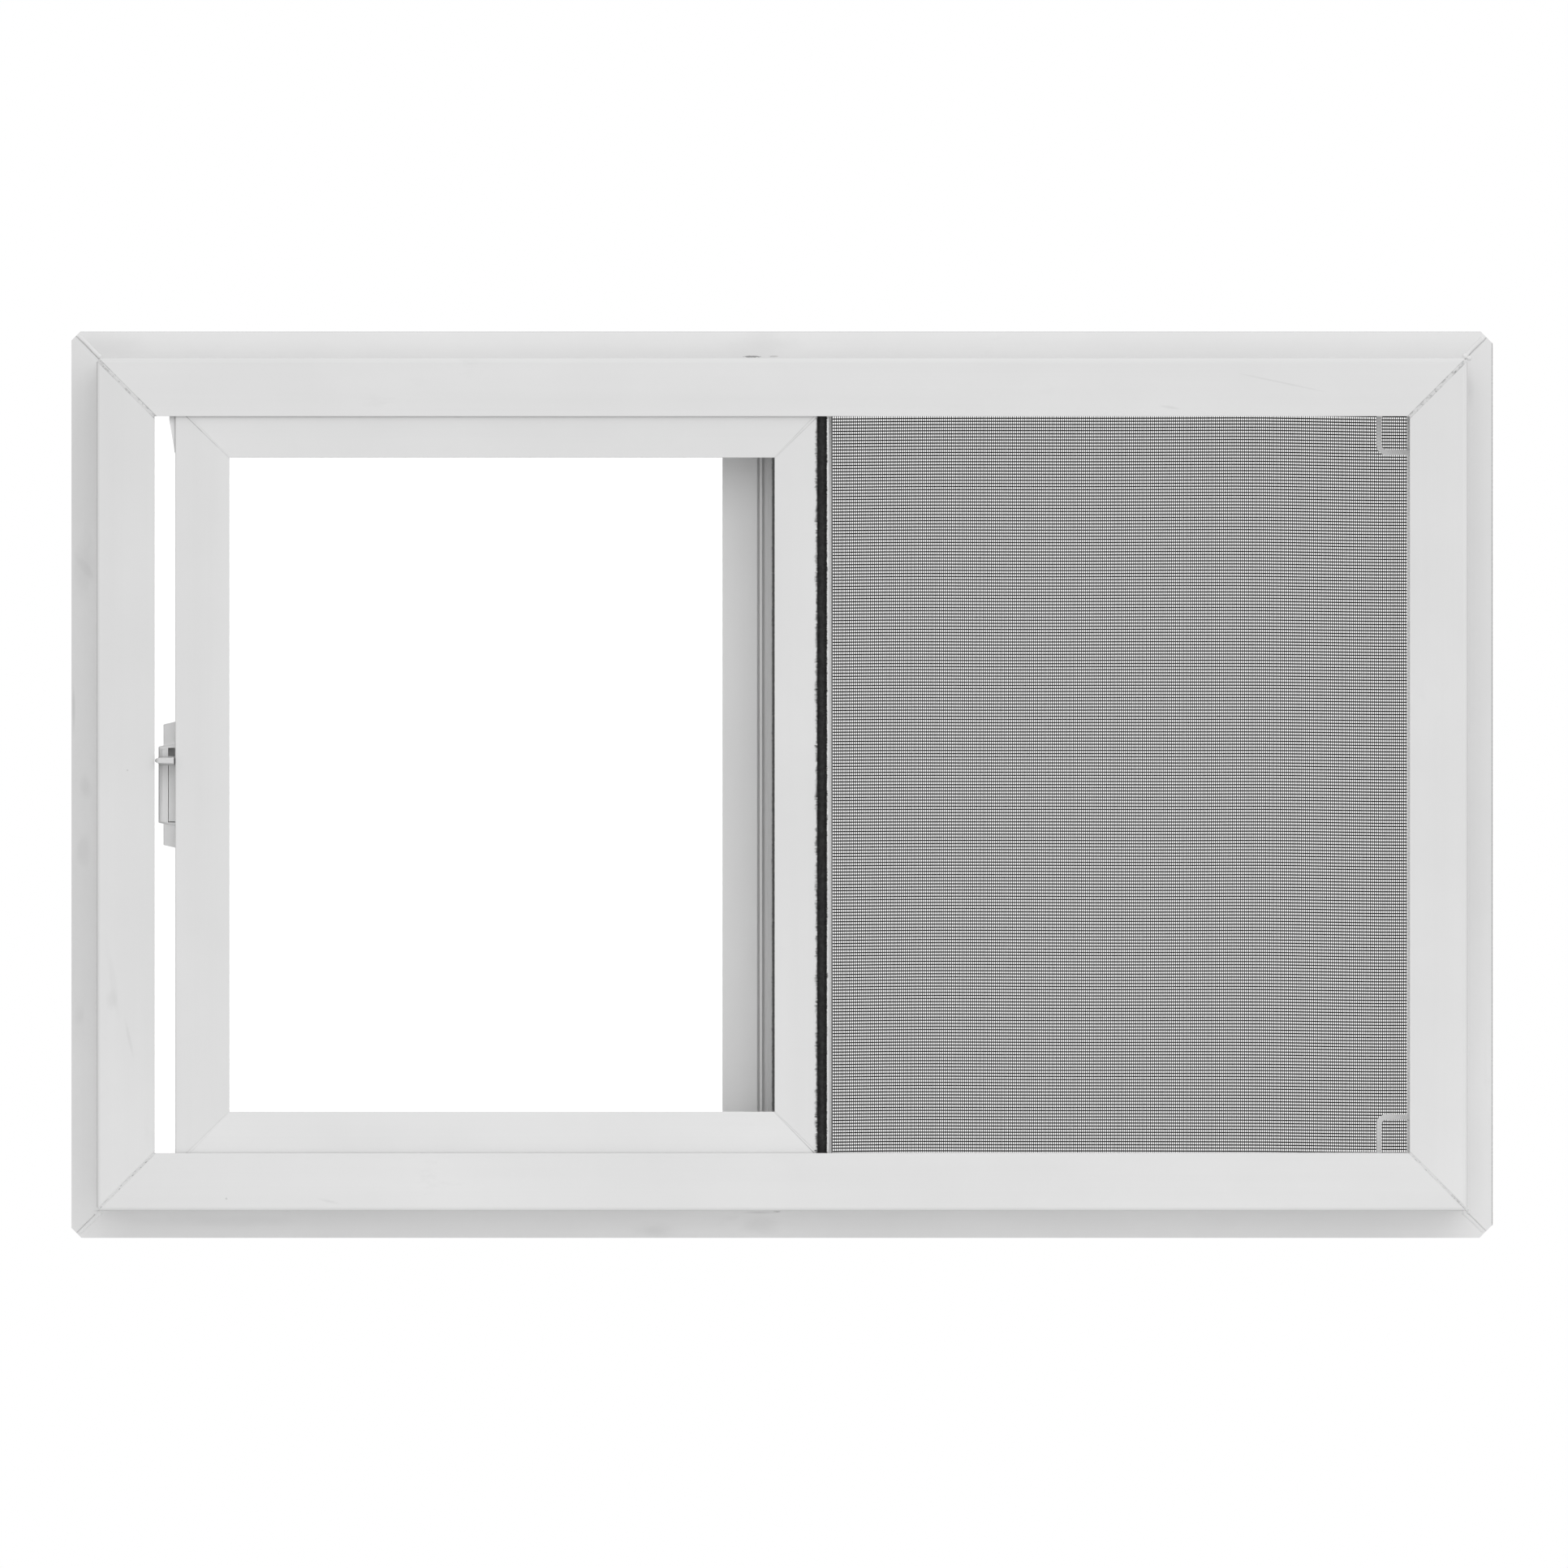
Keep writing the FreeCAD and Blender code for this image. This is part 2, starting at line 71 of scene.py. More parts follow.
# ------------------------------------------------------------- node helpers
class Tree:
    def __init__(self, nt):
        self.nt = nt
        nt.nodes.clear()

    def new(self, kind, **settings):
        n = self.nt.nodes.new(kind)
        for k, v in settings.items():
            setattr(n, k, v)
        return n

    def link(self, a, b):
        self.nt.links.new(a, b)

    def put(self, socket, value):
        if isinstance(value, bpy.types.NodeSocket):
            self.link(value, socket)
        else:
            socket.default_value = value

    def math(self, op, a, b=None, c=None, clamp=False):
        n = self.new("ShaderNodeMath", operation=op, use_clamp=clamp)
        for i, v in enumerate((a, b, c)):
            if v is not None:
                self.put(n.inputs[i], v)
        return n.outputs[0]

    def ramp(self, value, lo, hi, out_lo=0.0, out_hi=1.0):
        n = self.new("ShaderNodeMapRange", clamp=True)
        n.interpolation_type = "SMOOTHSTEP"
        self.put(n.inputs["Value"], value)
        n.inputs["From Min"].default_value, n.inputs["From Max"].default_value = lo, hi
        n.inputs["To Min"].default_value, n.inputs["To Max"].default_value = out_lo, out_hi
        return n.outputs[0]

    def coords(self, scale=(1, 1, 1), at=(0, 0, 0)):
        tc = self.new("ShaderNodeTexCoord")
        m = self.new("ShaderNodeMapping")
        m.inputs["Scale"].default_value = scale
        m.inputs["Location"].default_value = at
        self.link(tc.outputs["Object"], m.inputs["Vector"])
        return m.outputs["Vector"]

    def noise(self, scale=1.0, detail=2.0, rough=0.5, stretch=(1, 1, 1), at=(0, 0, 0)):
        n = self.new("ShaderNodeTexNoise")
        self.link(self.coords(stretch, at), n.inputs["Vector"])
        n.inputs["Scale"].default_value = scale
        n.inputs["Detail"].default_value = detail
        n.inputs["Roughness"].default_value = rough
        return n.outputs["Fac"]

    def mix(self, fac, a, b, blend="MIX"):
        n = self.new("ShaderNodeMix", data_type="RGBA", blend_type=blend)
        self.put(n.inputs["Factor"], fac)
        for s, v in (("A", a), ("B", b)):
            socket = next(i for i in n.inputs if i.identifier == s + "_Color")
            self.put(socket, v)
        return next(o for o in n.outputs if o.identifier == "Result_Color")

    def grey(self, value):
        n = self.new("ShaderNodeCombineColor")
        for i in range(3):
            self.put(n.inputs[i], value)
        return n.outputs[0]

    def bump(self, height, strength, distance, normal=None):
        n = self.new("ShaderNodeBump")
        n.inputs["Strength"].default_value = strength
        n.inputs["Distance"].default_value = distance
        self.link(height, n.inputs["Height"])
        if normal is not None:
            self.link(normal, n.inputs["Normal"])
        return n.outputs["Normal"]


def material(name):
    m = bpy.data.materials.new(name)
    m.use_nodes = True
    t = Tree(m.node_tree)
    out = t.new("ShaderNodeOutputMaterial")
    p = t.new("ShaderNodeBsdfPrincipled")
    t.link(p.outputs[0], out.inputs["Surface"])
    return m, t, p


def corner_distance(t, cx, cz, hx, hz):
    """Distance from the 45 degree mitre lines of a rectangle, and distance in from its edge."""
    sep = t.new("ShaderNodeSeparateXYZ")
    t.link(t.coords(), sep.inputs[0])
    u = t.math("SUBTRACT", hx, t.math("ABSOLUTE", t.math("SUBTRACT", sep.outputs[0], cx)))
    v = t.math("SUBTRACT", hz, t.math("ABSOLUTE", t.math("SUBTRACT", sep.outputs[2], cz)))
    return t.math("MULTIPLY", t.math("ABSOLUTE", t.math("SUBTRACT", u, v)), 0.7071), u, v, sep


VINYL = 0.75


def vinyl(name, along, rect=None, seam_w=1.0, marks=(), painted_light_tone=1.0, seed=0.0, taper=0.0,
          fin=(0.0, 0.0), low_w=1.0, worn=1.0, ends=None, lined=None, rim=None):
    """White extruded vinyl: fine lines along the extrusion, cloudy smudges, a roughened weld seam on the mitres, and
    painted light and shade set by the tone, fin, rim and ends arguments.
    """
    m, t, p = material(name)
    fine = {"x": (2.0, 1400.0, 1400.0), "z": (1400.0, 1400.0, 2.0)}[along]
    broad = {"x": (3.0, 60.0, 60.0), "z": (60.0, 60.0, 3.0)}[along]
    lines = t.noise(1.0, 3.0, 0.6, fine, (seed, seed, seed))
    bands = t.noise(1.0, 2.0, 0.5, broad, (seed * 3, 1.0, seed))
    cloud = t.noise(9.0, 4.0, 0.55, (1, 1, 1), (seed, 0.3, seed * 2))
    wipe = t.noise(1.0, 4.0, 0.6, (35, 35, 90) if along == "x" else (90, 35, 35), (2.0 + seed, 0, 0))
    tint = t.math("ADD", t.math("MULTIPLY", t.math("SUBTRACT", lines, 0.5), 0.022),
                  t.math("MULTIPLY", t.math("SUBTRACT", bands, 0.5), 0.060))
    tint = t.math("ADD", tint, t.math("MULTIPLY", t.math("SUBTRACT", cloud, 0.5), 0.100))
    smear = t.math("MULTIPLY", t.ramp(cloud, 0.52, 0.72), t.ramp(wipe, 0.55, 0.75))
    tint = t.math("SUBTRACT", tint, t.math("MULTIPLY", smear, 0.060))
    specks = t.new("ShaderNodeTexVoronoi", feature="F1")
    t.link(t.coords((1, 1, 1), (seed, seed, 0)), specks.inputs["Vector"])
    specks.inputs["Scale"].default_value = 22.0
    dot = t.ramp(specks.outputs["Distance"], 0.016, 0.006)
    keep = t.ramp(t.noise(14.0, 1.0, 0.5, (1, 1, 1), (seed, 4.0, 1.0)), 0.60, 0.64)
    dot = t.math("MULTIPLY", dot, keep)
    value = t.math("MULTIPLY", t.math("ADD", tint, 1.0), VINYL * painted_light_tone)
    value = t.math("MULTIPLY", value, t.math("SUBTRACT", 1.0, t.math("MULTIPLY", dot, 0.35)))
    grain = t.noise(900.0, 2.0, 0.5)
    height = t.math("ADD", t.math("MULTIPLY", lines, 0.35), t.math("MULTIPLY", grain, 0.65))
    normal = t.bump(height, 0.10, 0.00008)
    rough = t.math("ADD", 0.36, t.math("MULTIPLY", cloud, 0.10))
    if rect:
        dist, u, v, sep = corner_distance(t, *rect)
        if taper:
            inward = t.math("MULTIPLY", t.math("MINIMUM", u, v), 1.0 / (31.7 * MM), clamp=True)
            dist = t.math("DIVIDE", dist, t.math("SUBTRACT", 1.0, t.math("MULTIPLY", inward, taper)))
        if low_w != 1.0:
            dist = t.math("DIVIDE", dist, t.ramp(sep.outputs[2], ZC - 60 * MM, ZC + 60 * MM, low_w, 1.0))
        broken = t.noise(110.0, 3.0, 0.65, (1, 1, 1), (seed, 0, 7.0))
        wob = t.math("MULTIPLY", t.math("SUBTRACT", broken, 0.5), 0.0006)
        seam = t.ramp(t.math("ADD", dist, wob), seam_w * 1.25 * MM, seam_w * 0.85 * MM)
        span = (1.34, 1.06, 0.54, 0.84) if lined else (1.18, 1.02, 0.72, 0.90)
        span = [seam_w * k * MM for k in span]
        edge = t.math("MULTIPLY", t.ramp(dist, span[0], span[1]), t.ramp(dist, span[2], span[3]))
        edge = t.math("MULTIPLY", edge, t.ramp(broken, 0.40, 0.60, 0.55 if lined else 0.12, 1.0))
        edge_dark = 0.30 * worn
        if lined:
            high = t.ramp(sep.outputs[0], rect[0] - MM, rect[0] + MM, lined[0], lined[1])
            low = t.ramp(sep.outputs[0], rect[0] - MM, rect[0] + MM, lined[2], lined[3])
            upper = t.ramp(sep.outputs[2], ZC - MM, ZC + MM)
            edge_dark = t.math("MULTIPLY_ADD", t.math("SUBTRACT", high, low), upper, low)
            edge_dark = t.math("MULTIPLY", edge_dark, t.math("MULTIPLY_ADD", inward, -0.75, 1.25))
        pit = t.new("ShaderNodeTexVoronoi", feature="F1")
        t.link(t.coords((1, 1, 1), (0, seed, 0)), pit.inputs["Vector"])
        pit.inputs["Scale"].default_value = 620.0
        pits = t.math("MULTIPLY", t.ramp(pit.outputs["Distance"], 0.42, 0.22), seam)
        pits = t.math("MULTIPLY", pits, t.ramp(t.noise(120.0, 2.0, 0.6, (1, 1, 1), (3.0, seed, 0)), 0.52, 0.66))
        lay = t.new("ShaderNodeCombineXYZ")
        t.link(t.math("MULTIPLY", t.math("ADD", u, v), 130.0), lay.inputs[0])
        t.link(t.math("MULTIPLY", dist, 2600.0), lay.inputs[1])
        drag = t.new("ShaderNodeTexNoise")
        t.link(lay.outputs[0], drag.inputs["Vector"])
        drag.inputs["Detail"].default_value = 2.0
        scrape = t.math("MULTIPLY", t.ramp(drag.outputs["Fac"], 0.52, 0.68), seam)
        outside = t.ramp(t.math("MAXIMUM", u, v), 0.2 * MM, -0.2 * MM)
        face = t.math("SUBTRACT", 1.0, outside)
        line = t.math("MULTIPLY", t.ramp(dist, 0.60 * MM, 0.15 * MM), outside)
        value = t.math("MULTIPLY", value, t.math("SUBTRACT", 1.0, t.math("MULTIPLY", t.math("MULTIPLY", scrape, face), 0.22 * worn)))
        value = t.math("MULTIPLY", value, t.math("SUBTRACT", 1.0, t.math("MULTIPLY", t.math("MULTIPLY", edge, face), edge_dark)))
        value = t.math("MULTIPLY", value, t.math("SUBTRACT", 1.0, t.math("MULTIPLY", t.math("MULTIPLY", pits, face), 0.50 * worn)))
        value = t.math("MULTIPLY", value, t.math("SUBTRACT", 1.0, t.math("MULTIPLY", line, 0.20)))
        # on lined seams the groove is painted lighter towards its inner end, painted light against the shade in the
        # narrowing groove; on other seams it is a little darker
        value = t.math("MULTIPLY", value, t.math("SUBTRACT", 1.0, t.math("MULTIPLY", t.math("MULTIPLY", seam, face), t.math("MULTIPLY", inward, -0.06) if lined else 0.04)))
        patch = t.math("MULTIPLY", t.ramp(t.noise(1.0, 3.0, 0.7, (230, 230, 230), (seed, 2.0, seed)), 0.47, 0.58), seam)
        patch = t.math("MULTIPLY", patch, t.ramp(broken, 0.44, 0.54))
        value = t.math("MULTIPLY", value, t.math("SUBTRACT", 1.0, t.math("MULTIPLY", t.math("MULTIPLY", patch, face), 0.26 * worn)))
        scar = t.math("MULTIPLY", seam, t.math("SUBTRACT", grain, t.math("MULTIPLY", pits, 1.5)))
        normal = t.bump(scar, 0.35, 0.00015, normal)
        rough = t.math("ADD", rough, t.math("MULTIPLY", seam, 0.14))
        # painted light and shade on the fins: each fin lighter or darker from its foot at the step to its outer edge,
        # set per member for how the light falls on it
        beyond = t.math("MINIMUM", u, v)
        fin_painted_light_and_shade = t.ramp(beyond, 0.0, -17.5 * MM, 1.0 + fin[0], 1.0 + fin[1])
        on_fin = t.ramp(beyond, 0.2 * MM, -0.2 * MM)
        value = t.math("MULTIPLY", value, t.math("MULTIPLY_ADD", on_fin, t.math("SUBTRACT", fin_painted_light_and_shade, 1.0), 1.0))
        if rim:                               # painted shade on the rounded outer edge: a thin dark line for the contact shadow at the step to the fin, and a darkening of the whole rounding that damps its highlight
            away = v if along == "x" else u
            rounding = t.ramp(sep.outputs[1], FACE_Y + 2.6 * MM, FACE_Y + 3.4 * MM, 1.0, 0.0)
            painted_edge_shade = t.math("MULTIPLY_ADD", t.ramp(away, 1.1 * MM, 0.45 * MM), rim[0], t.math("MULTIPLY", t.ramp(away, 3.0 * MM, 1.2 * MM), rim[1]))
            value = t.math("MULTIPLY", value, t.math("SUBTRACT", 1.0, t.math("MULTIPLY", painted_edge_shade, rounding)))
        # painted light: the uprights lighter towards the bottom and darker towards the top, for how the light falls
        # along them
        if ends:
            low = t.ramp(sep.outputs[2], ZC - HZ, ZC - 20 * MM, 1.0 + ends[0], 1.0)
            high = t.ramp(sep.outputs[2], ZC + 100 * MM, ZC + HZ, 1.0, 1.0 + ends[1])
            value = t.math("MULTIPLY", value, t.math("MULTIPLY", low, high))
        crumb = t.math("MULTIPLY", t.math("SUBTRACT", grain, 0.5), 1.1)
        waver = t.math("MULTIPLY", t.math("SUBTRACT", wipe, 0.5), 1.6)
        room_side = t.ramp(sep.outputs[1], 1.5 * MM, 0.5 * MM) if marks else None
        for mx, mz, wx, wz, turn, dark, soft in marks:
            dx = t.math("SUBTRACT", sep.outputs[0], mx * MM)
            dz = t.math("SUBTRACT", sep.outputs[2], ZC + mz * MM)
            ca, sa = math.cos(math.radians(turn)), math.sin(math.radians(turn))
            if turn:
                ex = t.math("MULTIPLY_ADD", dx, ca / (wx * MM), t.math("MULTIPLY", dz, sa / (wx * MM)))
                ez = t.math("MULTIPLY_ADD", dx, -sa / (wz * MM), t.math("MULTIPLY", dz, ca / (wz * MM)))
            else:
                ex = t.math("MULTIPLY", dx, 1.0 / (wx * MM))
                ez = t.math("MULTIPLY", dz, 1.0 / (wz * MM))
            r = t.math("SQRT", t.math("MULTIPLY_ADD", ex, ex, t.math("MULTIPLY", ez, ez)))
            hit = t.ramp(t.math("ADD", r, waver if soft else crumb), 1.15 if soft else 1.0, 0.1 if soft else 0.55)
            hit = t.math("MULTIPLY", hit, room_side)
            value = t.math("MULTIPLY", value, t.math("SUBTRACT", 1.0, t.math("MULTIPLY", hit, dark)))
    t.link(t.grey(value), p.inputs["Base Color"])
    t.link(rough, p.inputs["Roughness"])
    t.link(normal, p.inputs["Normal"])
    p.inputs["IOR"].default_value = 1.50
    p.inputs["Specular IOR Level"].default_value = 0.35
    return m


FRAME_RECT = (0.0, ZC, HX, HZ)
SASH_RECT = (SASH_CX, ZC, SASH_HX, SASH_HZ)
# marks on the frame: handling marks, thin dark lines along the fin edges, and painted shade where noted: x, height from
# the middle, half length, half width (mm), turn, strength, soft
HEAD_MARKS = (
    (-18.0, 253.4, 5.7, 0.66, 0, 0.58, 0), (-5.0, 253.5, 3.6, 0.65, 0, 0.24, 0),
    # the second entry is painted shade on the fin's top-left corner
    (-13.2, 260.6, 22.9, 9.5, 0, 0.06, 1), (-401.4, 259.6, 28.6, 9.5, 0, 0.05, 1),
    (291.6, 236.8, 26.8, 0.62, -12, 0.08, 1), (228.4, 221.7, 6.0, 0.95, -9, 0.09, 1),
    # a thin dark line along the fin's outer edge
    (0.0, 268.0, 600.0, 0.35, 0, 0.10, 0),
)
SILL_MARKS = (
    (-3.0, -252.7, 2.4, 0.55, 0, 0.32, 0), (-13.4, -253.2, 13.0, 1.3, 0, 0.16, 1),
    (-77.1, -264.1, 16.2, 5.2, 0, 0.09, 1),
    (-13.2, -260.7, 13.4, 7.2, 0, 0.07, 1), (-266.0, -245.0, 8.9, 1.43, -14, 0.08, 1),
    (-326.6, -243.4, 0.8, 0.8, 0, 0.20, 0), (-330.0, -258.5, 62.0, 4.0, 0, 0.04, 1),
)
LEFT_MARKS = (
    (-413.4, 128.9, 7.6, 22.9, 0, 0.06, 1), (-413.1, 128.9, 10.4, 2.86, -52, 0.055, 1),
    (-419.4, 44.4, 1.0, 16.2, 0, 0.12, 1), (-412.4, -2.2, 4.3, 8.6, 0, 0.08, 1),
    (-414.3, -38.8, 5.2, 11.4, 0, 0.07, 1), (-415.8, -136.3, 3.8, 7.2, 0, 0.06, 1),
    (-394.4, -126.5, 3.8, 7.2, 0, 0.06, 1), (-393.4, -115.5, 27.5, 2.39, -81, 0.04, 1),
    (-383.4, -150.8, 12.3, 1.05, -77, 0.06, 1), (-384.8, 8.5, 0.7, 0.7, 0, 0.18, 0),
    # painted shade: a thin dark line on the fin along the body's step, for the contact shadow there
    (-403.7, 0.0, 0.45, 262.0, 0, 0.10, 0),
)
RIGHT_MARKS = (
    # the second entry is painted shade: a dark line along the fin's outer edge, for its end face in shadow
    (407.2, 234.6, 2.9, 11.4, 0, 0.06, 1), (420.3, 0.0, 0.45, 700.0, 0, 0.40, 0),
)
# The tone numbers are painted light: each member made lighter or darker for how the light falls on it, most of all the
# sill, bottom rail, mullion behind the glass and weld bead. The fin, rim and ends values paint light and shade too.
MAT = {
    "frame_head": vinyl("vinyl_head", "x", FRAME_RECT, 1.0, HEAD_MARKS, 1.01, 0.1, 0.0, (-0.016, 0.062), rim=(0.0, 0.045)),
    "frame_sill": vinyl("vinyl_sill", "x", FRAME_RECT, 1.0, SILL_MARKS, 1.04, 0.7, 0.0, (0.012, 0.044), 0.55, rim=(0.24, 0.0)),
    "frame_left_jamb": vinyl("vinyl_left_jamb", "z", FRAME_RECT, 1.0, LEFT_MARKS, 0.995, 1.3, 0.0, (0.065, 0.030), 0.55,
                             ends=(0.028, -0.020), rim=(0.21, 0.0)),
    "frame_right_jamb": vinyl("vinyl_right_jamb", "z", FRAME_RECT, 1.0, RIGHT_MARKS, 1.0, 1.9, 0.0, (0.040, 0.046), 0.55,
                              ends=(0.052, -0.006), rim=(0.10, 0.0)),
    "sash_h": vinyl("vinyl_sash_top_rail", "x", SASH_RECT, 1.0, (), 1.0, 2.5, 0.72, worn=0.12,
                    lined=(0.0, 0.28, 0.0, 0.0)),
    "sash_low": vinyl("vinyl_sash_bottom_rail", "x", SASH_RECT, 1.0, (), 1.045, 2.9, 0.72, worn=0.08,
                      lined=(0.0, 0.0, 0.10, 0.62)),
    "sash_v": vinyl("vinyl_sash_stiles", "z", SASH_RECT, 1.0, (), 1.0, 3.1, 0.72, worn=0.10, ends=(0.024, 0.0),
                    lined=(0.52, 0.30, 0.12, 0.14)),
    "mullion": vinyl("vinyl_mullion", "z", None, 1.0, (), 1.033, 5.1),
    "weld": vinyl("vinyl_weld_bead", "x", None, 1.0, (), 1.05, 5.9),
    "bead_h": vinyl("vinyl_beads_level", "x", None, 1.0, (), 0.99, 3.7),
    "bead_v": vinyl("vinyl_beads_upright", "z", None, 1.0, (), 0.99, 4.3),
}


def glass():
    m, t, p = material("clear_glass")
    p.inputs["Base Color"].default_value = (0.985, 0.985, 0.985, 1)
    p.inputs["Roughness"].default_value = 0.0
    p.inputs["IOR"].default_value = 1.50
    p.inputs["Transmission Weight"].default_value = 1.0
    wave = t.noise(2.2, 1.0, 0.4)
    t.link(t.bump(wave, 0.02, 0.0005), p.inputs["Normal"])
    return m


def spacer():
    m, t, p = material("spacer_bar")
    brushed = t.noise(1.0, 3.0, 0.6, (900.0, 900.0, 900.0))
    perf = t.new("ShaderNodeTexVoronoi", feature="F1")
    t.link(t.coords(), perf.inputs["Vector"])
    perf.inputs["Scale"].default_value = 420.0
    hole = t.ramp(perf.outputs["Distance"], 0.20, 0.12)
    value = t.math("MULTIPLY", t.math("ADD", 0.55, t.math("MULTIPLY", brushed, 0.12)), t.math("SUBTRACT", 1.0, t.math("MULTIPLY", hole, 0.5)))
    t.link(t.grey(value), p.inputs["Base Color"])
    t.link(t.math("ADD", 0.32, t.math("MULTIPLY", brushed, 0.15)), p.inputs["Roughness"])
    t.link(t.bump(brushed, 0.12, 0.00005), p.inputs["Normal"])
    p.inputs["Metallic"].default_value = 0.9
    return m


def pile_fibre():
    m, t, p = material("black_pile")
    v = t.ramp(t.noise(480.0, 3.0, 0.7), 0.40, 0.66)
    t.link(t.grey(t.math("ADD", 0.0020, t.math("MULTIPLY", v, 0.027))), p.inputs["Base Color"])
    t.link(t.math("ADD", 0.68, t.math("MULTIPLY", v, 0.16)), p.inputs["Roughness"])
    t.link(t.bump(v, 0.25, 0.00005), p.inputs["Normal"])
    p.inputs["Sheen Weight"].default_value = 0.12
    p.inputs["Sheen Roughness"].default_value = 0.5
    return m


def coated_strand():
    m, t, p = material("mesh_strand")
    v = t.noise(300.0, 2.0, 0.5)
    t.link(t.grey(t.math("ADD", 0.012, t.math("MULTIPLY", v, 0.016))), p.inputs["Base Color"])
    t.link(t.math("ADD", 0.45, t.math("MULTIPLY", v, 0.20)), p.inputs["Roughness"])
    t.link(t.bump(v, 0.15, 0.00004), p.inputs["Normal"])
    return m


def bar_paint(name="screen_bar_paint", shadow_line_x=None):
    m, t, p = material(name)
    v = t.noise(30.0, 3.0, 0.5)
    peel = t.noise(700.0, 2.0, 0.5)
    value = t.math("ADD", 0.88, t.math("MULTIPLY", v, 0.05))
    if shadow_line_x is not None:
        sep = t.new("ShaderNodeSeparateXYZ")
        t.link(t.coords(), sep.inputs[0])
        # painted shadow: a dark line just inside the rolled edge, for the shade in the gap between the sash and the bar
        value = t.math("MULTIPLY", value, t.ramp(sep.outputs[0], shadow_line_x - 0.95 * MM, shadow_line_x - 0.55 * MM, 1.0, 0.34))
    t.link(t.grey(value), p.inputs["Base Color"])
    t.link(t.math("ADD", 0.28, t.math("MULTIPLY", v, 0.08)), p.inputs["Roughness"])
    t.link(t.bump(peel, 0.12, 0.00006), p.inputs["Normal"])
    return m


def spline_rubber():
    m, t, p = material("spline_cord")
    ribs = t.noise(1.0, 2.0, 0.5, (1500, 1500, 1500))
    t.link(t.grey(t.math("ADD", 0.02, t.math("MULTIPLY", ribs, 0.03))), p.inputs["Base Color"])
    t.link(t.math("ADD", 0.62, t.math("MULTIPLY", ribs, 0.16)), p.inputs["Roughness"])
    t.link(t.bump(ribs, 0.4, 0.0002), p.inputs["Normal"])
    return m


def moulded(name, base, rough, grain, worn=None):
    m, t, p = material(name)
    v = t.noise(60.0, 3.0, 0.5)
    fine = t.noise(grain, 2.0, 0.5)
    value = t.math("MULTIPLY", t.math("ADD", 0.97, t.math("MULTIPLY", v, 0.06)), base)
    if worn:
        sep = t.new("ShaderNodeSeparateXYZ")
        t.link(t.coords(), sep.inputs[0])
        value = t.math("MULTIPLY", value, worn(t, *sep.outputs))
    t.link(t.grey(value), p.inputs["Base Color"])
    t.link(t.math("ADD", rough, t.math("MULTIPLY", v, 0.08)), p.inputs["Roughness"])
    t.link(t.bump(fine, 0.15, 0.00006), p.inputs["Normal"])
    p.inputs["Specular IOR Level"].default_value = 0.4
    return m


GLASS, SPACER, PILE, STRAND, BAR, SPLINE = glass(), spacer(), pile_fibre(), coated_strand(), bar_paint(), spline_rubber()
# left bar, with a painted shadow line along its rolled edge
BAR_LEFT = bar_paint("screen_bar_paint_shadow_line", 29.8 * MM)
LATCH_X = SASH_CX - SASH_HX                # stile edge that carries the latch


def latch_painted_shade(t, x, y, z):
    """Painted shade in the open end of the slot, a recess, and painted dark lines for the shade along the latch's free
    edges.
    """
    hole = t.math("MULTIPLY", t.ramp(y, -25.2 * MM, -24.3 * MM), t.ramp(z, ZC + 15.5 * MM, ZC + 16.8 * MM))
    hole = t.math("MULTIPLY", hole, t.ramp(x, LATCH_X - 4.95 * MM, LATCH_X - 4.7 * MM))
    hole = t.math("MULTIPLY", hole, t.ramp(z, ZC + 21.9 * MM, ZC + 21.6 * MM))
    house_edge = t.ramp(x, LATCH_X - 9.95 * MM, LATCH_X - 10.3 * MM)
    away = t.math("ABSOLUTE", t.math("SUBTRACT", z, ZC))
    base_edge = t.math("MULTIPLY", t.ramp(x, LATCH_X - 7.05 * MM, LATCH_X - 7.4 * MM), t.ramp(away, 22.5 * MM, 24.5 * MM))
    dark = t.math("MULTIPLY_ADD", hole, 0.40, t.math("MULTIPLY_ADD", house_edge, 0.26, t.math("MULTIPLY", base_edge, 0.24)))
    return t.math("SUBTRACT", 1.0, dark)


def tab_painted_shade_and_lighter_plate(t, x, y, z):
    """Painted shade on the tab's rounded nose; the plate behind the tab lighter."""
    nose = t.ramp(x, LATCH_X - 11.4 * MM, LATCH_X - 8.9 * MM, 0.58, 1.0)
    return t.math("MULTIPLY", nose, t.ramp(y, -31.5 * MM, -30.3 * MM, 1.0, 1.36))


def guide_darker_joint_and_end(t, x, y, z):
    """Darker along the joint between the guide block and the stile, and on the block's thin end."""
    joint = t.ramp(x, LATCH_X - 0.66 * MM, LATCH_X - 0.26 * MM, 1.0, 0.66)
    return t.math("MULTIPLY", joint, t.ramp(z, ZC + 195.8 * MM, ZC + 197.4 * MM, 0.75, 1.0))


LATCH = moulded("latch_plastic", 0.97, 0.36, 1300.0, latch_painted_shade)
LATCH_TAB = moulded("latch_tab_plastic", 0.68, 0.32, 1300.0, tab_painted_shade_and_lighter_plate)
GUIDE = moulded("guide_plastic", 0.88, 0.36, 1300.0, guide_darker_joint_and_end)
LOOP = moulded("pull_loop_plastic", 0.95, 0.42, 1500.0)


def set_material(obj, mat):
    if not obj.material_slots:
        obj.data.materials.append(mat)
    for s in obj.material_slots:
        s.material = mat


